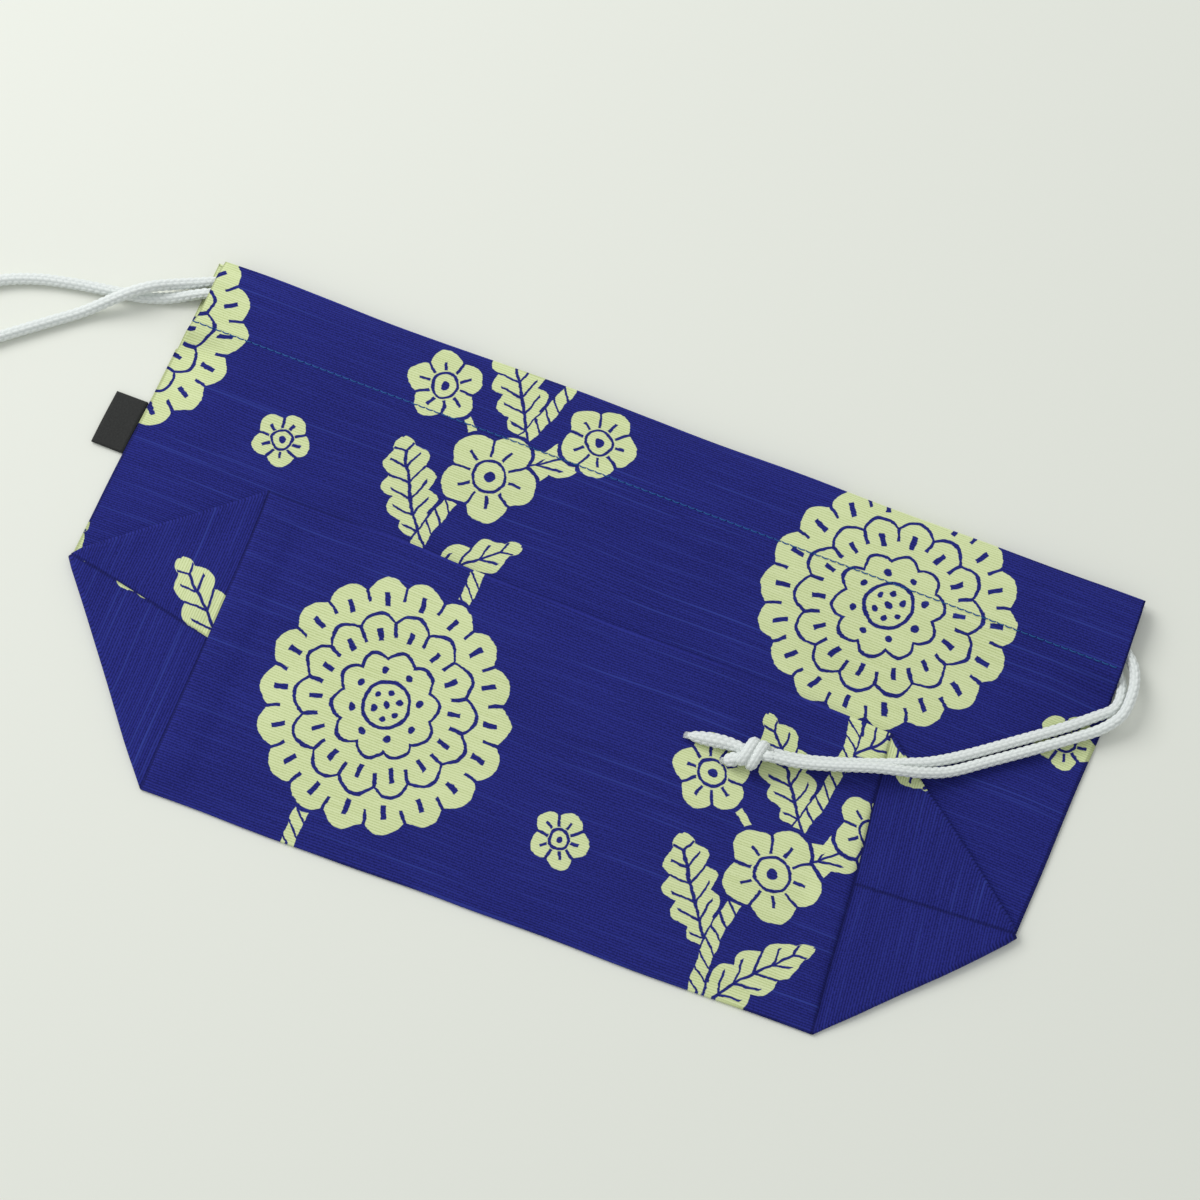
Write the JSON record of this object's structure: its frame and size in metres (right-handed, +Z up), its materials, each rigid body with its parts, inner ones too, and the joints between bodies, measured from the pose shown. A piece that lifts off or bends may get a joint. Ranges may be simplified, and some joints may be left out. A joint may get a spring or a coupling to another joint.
{
  "type": "drawstring bag",
  "caption": "Boxed cotton drawstring bag, emptied and folded flat with its base laid up over the front, with a cord out of each side of its casing.",
  "frame": {"origin": "middle of the flat underside, which lies on the table: half the bag's width, and half of its flat height up from the bottom fold", "axes": "+X to the right along the bag's width, +Y from the bottom fold towards the mouth, +Z up out of the table"},
  "size_m": [0.4364, 0.1725, 0.0111],
  "materials": {
    "printed_cotton": "woven slub cotton, deep blue with a pale yellow-green print",
    "white_cord": "soft round braid, white",
    "black_tape": "close woven tape, black and bare"
  },
  "bodies": {
    "root": {"bag_cloth": "printed_cotton", "side_tag": "black_tape", "left_cord_in_casing": "white_cord", "right_cord_in_casing": "white_cord", "left_strand_back": "white_cord", "left_strand_front": "white_cord", "right_strand_back": "white_cord", "right_strand_front": "white_cord", "left_knot": "white_cord", "right_knot": "white_cord"}
  },
  "joints": []
}
